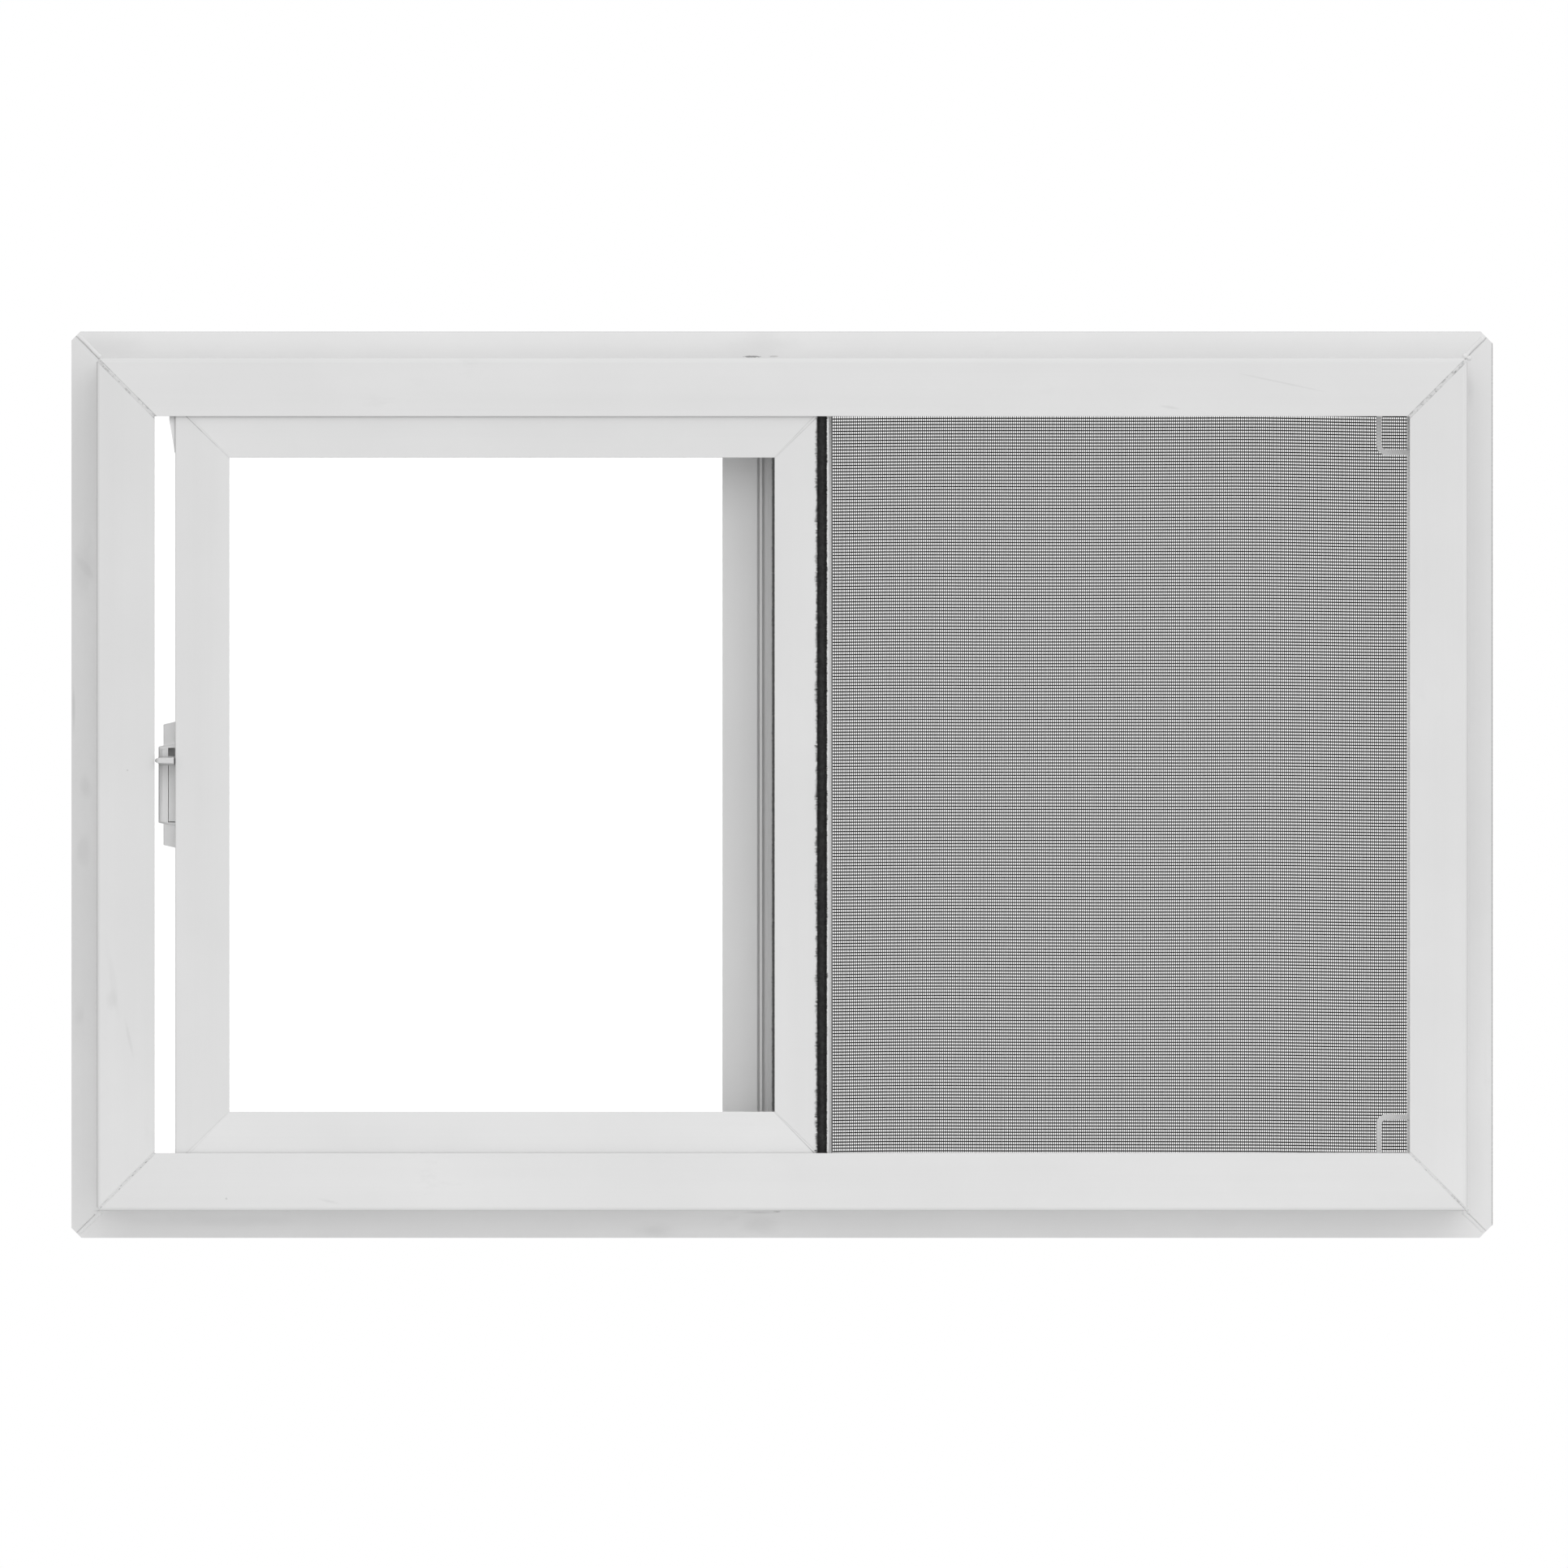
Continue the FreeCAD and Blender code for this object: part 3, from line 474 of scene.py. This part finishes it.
def choose(n):
    if n in MAT:
        return MAT[n]
    if "spacer" in n:
        return SPACER
    if "glass" in n:
        return GLASS
    if "pile" in n:
        return PILE
    if n == "screen_mesh":
        return STRAND
    if n == "screen_spline":
        return SPLINE
    if n.startswith("screen_pull"):
        return LOOP
    if n == "screen_left_bar":
        return BAR_LEFT
    if n.startswith("screen_"):
        return BAR
    if n == "latch_slider":
        return LATCH_TAB
    if n == "latch_body":
        return LATCH
    if n == "sash_guide_block":
        return GUIDE
    if n == "sash_top_rail":
        return MAT["sash_h"]
    if n == "sash_bottom_rail":
        return MAT["sash_low"]
    if n in ("sash_lock_stile", "sash_jamb_stile"):
        return MAT["sash_v"]
    if n == "meeting_mullion":
        return MAT["mullion"]
    if n in ("fixed_bead_left", "sash_bead_left", "sash_bead_right"):
        return MAT["bead_v"]
    return MAT["bead_h"]


def soften(obj, width, segments=2):
    """Small rounded edges on a hard part."""
    w = obj.modifiers.new("join", "WELD")
    w.merge_threshold = 0.000002
    b = obj.modifiers.new("edges", "BEVEL")
    b.width = width
    b.segments = segments
    b.limit_method = "ANGLE"
    b.angle_limit = math.radians(35)
    b.use_clamp_overlap = True
    b.harden_normals = False


for name, obj in NODE.items():
    set_material(obj, choose(name))
    if "glass" in name and "spacer" not in name:
        obj.visible_shadow = False
        obj.visible_diffuse = False

for name in ("latch_body", "latch_slider", "sash_guide_block"):
    soften(NODE[name], 0.00035)
for name in ("screen_pull_upper", "screen_pull_lower"):
    soften(NODE[name], 0.0002)
for name in ("frame_head", "frame_sill", "frame_left_jamb", "frame_right_jamb",
             "sash_top_rail", "sash_bottom_rail", "sash_lock_stile", "sash_jamb_stile", "meeting_mullion"):
    soften(NODE[name], 0.0003)


# ------------------------------------------------------------- made pieces
def make_mesh(name, verts, faces, mat, body, smooth=True):
    me = bpy.data.meshes.new(name)
    me.vertices.add(len(verts))
    me.vertices.foreach_set("co", np.asarray(verts, np.float32).ravel())
    faces = np.asarray(faces, np.int32)
    k = faces.shape[1]
    me.loops.add(faces.size)
    me.loops.foreach_set("vertex_index", faces.ravel())
    me.polygons.add(len(faces))
    me.polygons.foreach_set("loop_start", np.arange(0, faces.size, k, dtype=np.int32))
    me.polygons.foreach_set("loop_total", np.full(len(faces), k, np.int32))
    me.update(calc_edges=True)
    me.validate()
    bm = bmesh.new()
    bm.from_mesh(me)
    bmesh.ops.recalc_face_normals(bm, faces=bm.faces[:])
    bm.to_mesh(me)
    bm.free()
    me.polygons.foreach_set("use_smooth", np.full(len(me.polygons), smooth))
    me.materials.append(mat)
    o = bpy.data.objects.new(name, me)
    scene.collection.objects.link(o)
    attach(o, body)
    return o


# --- weld bead left on the fin along each mitre, with a lump at the foot of all but the top-left one
def weld_lump(c, r, h):
    """Closed low dome on the fin, its foot just inside the fin's face."""
    n_ring, n_seg = 6, 20
    verts = [c + np.array([0.0, 0.15 * MM, 0.0])]
    for i in range(n_ring):
        a = 0.5 * math.pi * i / n_ring
        for j in range(n_seg):
            b = 2 * math.pi * j / n_seg
            verts.append(c + np.array([r * math.cos(a) * math.cos(b), -h * math.sin(a), r * math.cos(a) * math.sin(b)]))
    verts.append(c + np.array([0.0, -h, 0.0]))
    tris = []
    for j in range(n_seg):
        k = (j + 1) % n_seg
        tris.append((0, 1 + k, 1 + j))
        for i in range(n_ring - 1):
            a, b = 1 + i * n_seg, 1 + (i + 1) * n_seg
            tris += [(a + j, a + k, b + k), (a + j, b + k, b + j)]
        tris.append((1 + (n_ring - 1) * n_seg + j, 1 + (n_ring - 1) * n_seg + k, len(verts) - 1))
    verts, tris = np.array(verts), np.array(tris)
    q = verts - c
    volume = np.einsum("ij,ij->i", q[tris[:, 0]], np.cross(q[tris[:, 1]], q[tris[:, 2]])).sum()
    return verts, tris if volume > 0 else tris[:, ::-1]


def fin_weld(name, sx, sz, reach, seed, lump=None):
    rng = np.random.default_rng(seed)
    k = math.sqrt(0.5)
    start = np.array([sx * HX, 0.0, ZC + sz * HZ])
    u = np.array([sx * k, 0.0, sz * k])
    n = np.array([-sx * k, 0.0, sz * k])              # toward the level member
    n_len, n_arc = 44, 8
    t = np.linspace(0.0, 1.0, n_len + 1)
    s = (0.6 + (reach - 0.6) * t) * MM
    ragged = np.convolve(rng.normal(0, 1, n_len + 9), np.ones(9) / 9, "valid")
    fade = np.clip(t * 10, 0, 1) * np.clip((1 - t) * 14, 0, 1)
    half = (1.05 + 0.20 * ragged + 0.55 * np.exp(-((s / MM - 2.4) / 1.0) ** 2)) * MM * (0.35 + 0.65 * fade)
    high = (0.30 + 0.12 * ragged + 0.50 * np.exp(-((s / MM - 2.4) / 1.0) ** 2)) * MM * fade + 0.02 * MM
    off = (1.40 + 0.12 * np.sin(t * 9.0 + seed)) * MM
    verts = []
    for i in range(n_len + 1):
        c = start + u * s[i] + n * off[i]
        for j in range(n_arc + 1):
            a = math.pi * j / n_arc
            verts.append(c + n * (half[i] * math.cos(a)) + np.array([0.0, -high[i] * math.sin(a), 0.0]))
        verts.append(c + np.array([0.0, 0.15 * MM, 0.0]))
    w = n_arc + 2
    faces = []
    for i in range(n_len):
        for j in range(w):
            a, b = i * w + j, i * w + (j + 1) % w
            faces.append((a, b, b + w, a + w))
    faces = np.array(faces)
    if sx * sz < 0:
        faces = faces[:, ::-1]
    tris = np.concatenate([faces[:, [0, 1, 2]], faces[:, [0, 2, 3]]])
    ends = []
    for e, flip in ((0, True), (n_len, False)):
        hub = e * w + w - 1
        for j in range(n_arc):
            tri = (hub, e * w + j, e * w + j + 1)
            ends.append(tri if flip == (sx * sz > 0) else tri[::-1])
    verts, tris = np.array(verts), np.concatenate([tris, np.array(ends)])
    if lump:
        v2, f2 = weld_lump(start + u * (lump[0] * MM) + n * (lump[1] * MM), lump[2] * MM, 0.9 * MM)
        tris = np.concatenate([tris, f2 + len(verts)])
        verts = np.concatenate([verts, v2])
    o = make_mesh(name, verts, tris, MAT["weld"], "frame")
    return o


for tag, sx, sz, reach, seed, lump in (
        ("top_left", -1, 1, 20.0, 21, None), ("top_right", 1, 1, 18.8, 22, (3.7, -1.2, 1.45)),
        ("bottom_left", -1, -1, 19.6, 23, (3.9, -0.3, 1.35)), ("bottom_right", 1, -1, 18.4, 24, (3.8, -0.9, 1.3))):
    fin_weld("fin_weld_" + tag, sx, sz, reach, seed, lump)

# --- insect mesh: every strand at its real pitch, slightly uneven as the cloth is
PITCH_X, PITCH_Z = 1.2414 * MM, 1.8423 * MM
UP_W, ACROSS_W = 0.50 * MM, 0.76 * MM
mesh_lo, mesh_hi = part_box("screen_mesh")
mesh_y = (mesh_lo.y + mesh_hi.y) / 2


def drift_x(x, z):
    return 0.00007 * np.sin(z * 21.0 + x * 9.0) + 0.00005 * np.sin(z * 47.0 + 1.3 + x * 30.0)


def drift_z(x, z):
    far = np.clip((x - 0.27) / 0.10, 0, 1)
    near = np.clip((0.10 - x) / 0.07, 0, 1)
    bow = -0.0011 * far * far * (3 - 2 * far) - 0.0005 * near * near
    return bow + 0.00012 * np.sin(x * 17.0 + z * 6.0) + 0.00006 * np.sin(x * 39.0 + 0.7 - z * 22.0)


def strands():
    verts, faces = [], []
    base = 0
    steps = 20
    ring = 4
    edge = 0.0001
    for kind in ("up", "across"):
        r = (UP_W if kind == "up" else ACROSS_W) / 2
        if kind == "up":
            at = np.arange(mesh_lo.x + 0.0008, mesh_hi.x - 0.0005, PITCH_X)
            along = np.linspace(mesh_lo.z + edge, mesh_hi.z - edge, steps + 1)
        else:
            at = np.arange(mesh_lo.z + 0.0008, mesh_hi.z - 0.0005, PITCH_Z)
            along = np.linspace(mesh_lo.x + edge, mesh_hi.x - edge, steps + 1)
        for a in at:
            if kind == "up":
                cx, cz = a + drift_x(a, along), along
                cx = np.clip(cx, mesh_lo.x + r, mesh_hi.x - r)
                cy = np.full_like(along, mesh_y - 0.00006)
                pts = [np.stack([cx - r, cy, cz], 1), np.stack([cx, cy - r * 0.75, cz], 1),
                       np.stack([cx + r, cy, cz], 1), np.stack([cx, cy + r * 0.75, cz], 1)]
            else:
                cx, cz = along, a + drift_z(along, a)
                cz = np.clip(cz, mesh_lo.z + r, mesh_hi.z - r)
                cy = np.full_like(along, mesh_y + 0.00006)
                pts = [np.stack([cx, cy, cz - r], 1), np.stack([cx, cy + r * 0.75, cz], 1),
                       np.stack([cx, cy, cz + r], 1), np.stack([cx, cy - r * 0.75, cz], 1)]
            ringed = np.stack(pts, 1).reshape(-1, 3)
            verts.append(ringed)
            i = np.arange(steps)[:, None] * ring + base
            k = np.arange(ring)[None, :]
            k2 = (k + 1) % ring
            q = np.stack([i + k, i + k2, i + k2 + ring, i + k + ring], 2).reshape(-1, 4)
            faces.append(q)
            top = base + steps * ring
            faces.append(np.array([[base + 3, base + 2, base + 1, base], [top, top + 1, top + 2, top + 3]]))
            base += ring * (steps + 1)
    return np.concatenate(verts), np.concatenate(faces)


v, f = strands()
cloth = make_mesh("insect_mesh_strands", v, f, STRAND, "frame", smooth=False)
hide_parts("screen_mesh")


def fringe_points(lo, hi, run, cross, count, rng, proud, far=1.0):
    """Bent fibres that lean out over both edges of the groove: root ring, ring at the edge, tip."""
    out = []
    for side in (-1, 1):
        edge = (hi if side > 0 else lo)[cross]
        run_at = rng.uniform(lo[run] + 0.0004, hi[run] - 0.0004, count)
        tuft = np.interp(run_at, np.linspace(lo[run], hi[run], 260), np.abs(rng.normal(0, 1, 260)))
        reach = (0.00025 + 0.00140 * rng.uniform(0, 1, count) ** 1.2 * (0.40 + 0.60 * tuft)).clip(0, 0.0020) * far
        reach = reach * (0.46 if side > 0 else 1.0)
        lift = rng.uniform(0.35, 0.95, count) * proud
        face_y = lo[1] + proud
        spots = ((edge - side * 0.00045, face_y + 0.0006, 0.0), (edge - side * 0.00002, face_y - 0.35 * lift, 0.4))
        drift = rng.normal(0, 0.0005, count)
        ang = rng.uniform(0, 2 * np.pi, count)
        rings = []
        for c, y, f in spots:
            for k in range(3):
                p = np.zeros((count, 3))
                p[:, run] = run_at + drift * f + 0.00010 * np.cos(ang + k * 2.0944)
                p[:, cross] = c + 0.00010 * np.sin(ang + k * 2.0944)
                p[:, 1] = y
                rings.append(p)
        tip = np.zeros((count, 3))
        tip[:, run] = np.clip(run_at + drift, lo[run], hi[run])
        tip[:, cross] = edge + side * reach
        tip[:, 1] = face_y - lift
        out.append(np.stack(rings + [tip], 1).reshape(-1, 3))
    return np.concatenate(out)


# --- pile strips: a woven backing and a brush of short black fibres
def brush(name, node, body, run, count, rows, seed, splay, fringe=0, proud=0.0004, far=1.0):
    lo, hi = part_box(node)
    rng = np.random.default_rng(seed)
    lo, hi = np.array(lo), np.array(hi)
    y_tip, y_root = lo[1] + 0.00005, hi[1]
    y_mid = y_tip + (y_root - y_tip) * 0.30
    cross = 0 if run == 2 else 2
    length = hi[run] - lo[run]
    verts, faces = [], []
    # backing with an uneven crown
    n_along, n_across = int(length / 0.004), 6
    s = np.linspace(lo[run], hi[run], n_along + 1)
    c = np.linspace(lo[cross] + 0.0003, hi[cross] - 0.0003, n_across + 1)
    S, C = np.meshgrid(s, c, indexing="ij")
    crown = y_mid + 0.0006 * ((C - C.mean()) / (0.5 * (c[-1] - c[0]))) ** 2 + rng.normal(0, 0.00008, S.shape)
    grid = np.zeros(S.shape + (3,))
    grid[..., run], grid[..., cross], grid[..., 1] = S, C, crown
    low = grid.copy()
    low[..., 1] = y_root
    verts.append(grid.reshape(-1, 3))
    verts.append(low.reshape(-1, 3))
    w = n_across + 1
    off = S.size
    quads = []
    for i in range(n_along):
        for j in range(n_across):
            a = i * w + j
            quads.append((a, a + 1, a + w + 1, a + w))
            quads.append((off + a, off + a + w, off + a + w + 1, off + a + 1))
    for i in range(n_along):
        a, b = i * w, i * w + n_across
        quads.append((a, a + w, off + a + w, off + a))
        quads.append((b, off + b, off + b + w, b + w))
    for j in range(n_across):
        a, b = j, n_along * w + j
        quads.append((a, off + a, off + a + 1, a + 1))
        quads.append((b, b + 1, off + b + 1, off + b))
    q = np.array(quads)
    tris = np.concatenate([q[:, [0, 1, 2]], q[:, [0, 2, 3]]])
    faces.append(tris)
    base = 2 * off
    # fibres: slim three-sided spikes
    m = count * rows
    along = np.repeat((np.arange(count) + 0.5) / count, rows) * length + lo[run] + rng.normal(0, 0.00016, m)
    across = np.tile((np.arange(rows) + 0.5) / rows, count) * (hi[cross] - lo[cross]) + lo[cross] + rng.normal(0, 0.00012, m)
    along = np.clip(along, lo[run] + 0.0002, hi[run] - 0.0002)
    out = (across - (lo[cross] + hi[cross]) / 2) / ((hi[cross] - lo[cross]) / 2)
    across = np.clip(across, lo[cross] + 0.0002, hi[cross] - 0.0002)
    tip_y = y_tip + np.abs(rng.normal(0, 0.00045, m)) + 0.0005 * out ** 2
    root = np.zeros((m, 3))
    root[:, run], root[:, cross], root[:, 1] = along, across, y_mid + 0.0010
    tip = root.copy()
    tip[:, 1] = tip_y
    tip[:, run] = np.clip(tip[:, run] + rng.normal(0, 0.00035, m), lo[run], hi[run])
    pos = (along - lo[run]) / length
    clump = np.zeros(m)
    for side in (-1, 1):
        grain = np.convolve(rng.normal(0, 1, int(length / 0.0009)), np.ones(2) / 1.4, "same")
        clump += np.where(np.sign(out) == side, np.interp(pos * (len(grain) - 1), np.arange(len(grain)), grain), 0)
    tip[:, cross] = tip[:, cross] + out * splay * (1.0 + 0.9 * clump) + rng.normal(0, splay * 0.45, m)
    thick = 0.00013
    ang = rng.uniform(0, 2 * np.pi, m)
    ring = []
    for k in range(3):
        p = root.copy()
        p[:, run] += thick * np.cos(ang + k * 2.0944)
        p[:, cross] += thick * np.sin(ang + k * 2.0944)
        ring.append(p)
    pts = np.stack(ring + [tip], 1).reshape(-1, 3)
    verts.append(pts)
    i = np.arange(m)[:, None] * 4 + base
    turn = [(0, 1, 3), (1, 2, 3), (2, 0, 3)] if run == 2 else [(1, 0, 3), (2, 1, 3), (0, 2, 3)]
    for t3 in turn + [turn[0][:2][::-1] + (3 - turn[0][0] - turn[0][1],)]:
        faces.append(np.concatenate([i + t3[0], i + t3[1], i + t3[2]], 1))
    base += 4 * m
    if fringe:
        verts.append(fringe_points(lo, hi, run, cross, fringe, rng, proud, far))
        k = 2 * fringe
        i = np.arange(k)[:, None] * 7 + base
        ring6 = [(a, (a + 1) % 3) for a in range(3)]
        tri = [(2, 1, 0)]
        for a, b in ring6:
            tri += [(a, b, 3 + b), (a, 3 + b, 3 + a), (3 + a, 3 + b, 6)]
        for t3 in tri:
            order = t3 if run == 2 else t3[::-1]
            faces.append(np.concatenate([i + order[0], i + order[1], i + order[2]], 1))
    o = make_mesh(name, np.concatenate(verts), np.concatenate(faces), PILE, body, smooth=False)
    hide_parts(node)
    return o


brush("pile_brush_right", "sash_pile_right", "sash", 2, 1150, 13, 11, 0.00055, 4800, far=1.3)
brush("pile_brush_top", "sash_pile_top", "sash", 0, 620, 9, 12, 0.0003)
brush("pile_brush_bottom", "sash_pile_bottom", "sash", 0, 620, 9, 13, 0.0003)
brush("pile_brush_mullion", "mullion_pile", "frame", 2, 1200, 5, 14, 0.00030, fringe=1500, far=0.55)

# ------------------------------------------------------------------- stage
bm = bmesh.new()
bmesh.ops.create_circle(bm, cap_ends=True, segments=96, radius=1.4)
me = bpy.data.meshes.new("floor")
bm.to_mesh(me)
bm.free()
floor = bpy.data.objects.new("floor", me)
floor.location = (0, 0, -0.42)
scene.collection.objects.link(floor)
fm, ft, fp = material("pale_floor")
fp.inputs["Base Color"].default_value = (0.86, 0.86, 0.86, 1)
fp.inputs["Roughness"].default_value = 0.8
rim = ft.new("ShaderNodeVectorMath", operation="LENGTH")
ft.link(ft.coords(), rim.inputs[0])
fade = ft.ramp(rim.outputs["Value"], 0.55, 1.38)
clear = ft.new("ShaderNodeBsdfTransparent")
both = ft.new("ShaderNodeMixShader")
ft.link(fade, both.inputs[0])
ft.link(fp.outputs[0], both.inputs[1])
ft.link(clear.outputs[0], both.inputs[2])
ft.link(both.outputs[0], next(n for n in ft.nt.nodes if n.type == "OUTPUT_MATERIAL").inputs["Surface"])
me.materials.append(fm)

world = bpy.data.worlds.new("studio")
scene.world = world
world.use_nodes = True
wt = Tree(world.node_tree)
wout = wt.new("ShaderNodeOutputWorld")
bg = wt.new("ShaderNodeBackground")
wt.link(bg.outputs[0], wout.inputs["Surface"])
tc = wt.new("ShaderNodeTexCoord")
dot = wt.new("ShaderNodeVectorMath", operation="DOT_PRODUCT")
wt.link(tc.outputs["Generated"], dot.inputs[0])
dot.inputs[1].default_value = Vector((0.22, -0.49, 0.845)).normalized()
soft = wt.math("MULTIPLY_ADD", dot.outputs["Value"], 0.367, 0.715)
lp = wt.new("ShaderNodeLightPath")
straight = wt.math("LESS_THAN", lp.outputs["Glossy Depth"], 0.5)
through = wt.math("MULTIPLY", lp.outputs["Is Transmission Ray"], straight)
bounced = wt.math("MULTIPLY", lp.outputs["Is Transmission Ray"], wt.math("SUBTRACT", 1.0, straight))
lit = wt.math("MULTIPLY", soft, wt.math("SUBTRACT", 1.0, wt.math("MULTIPLY", bounced, 0.7)))
seen = wt.math("MAXIMUM", lp.outputs["Is Camera Ray"], through)
white = wt.math("POWER", 1.065, lp.outputs["Transmission Depth"])      # makes up for each glass surface passed
strength = wt.math("ADD", wt.math("MULTIPLY", seen, white), wt.math("MULTIPLY", wt.math("SUBTRACT", 1.0, seen), lit))
wt.link(strength, bg.inputs["Strength"])
bg.inputs["Color"].default_value = (1, 1, 1, 1)

key_data = bpy.data.lights.new("softbox", "AREA")
key_data.shape = "RECTANGLE"
key_data.size, key_data.size_y = 2.4, 1.6
key_data.energy = 8.0
key = bpy.data.objects.new("softbox", key_data)
scene.collection.objects.link(key)
key.location = (0.5, -2.2, 1.6)
key.rotation_euler = (Vector((0, 0, ZC)) - key.location).to_track_quat("-Z", "Y").to_euler()
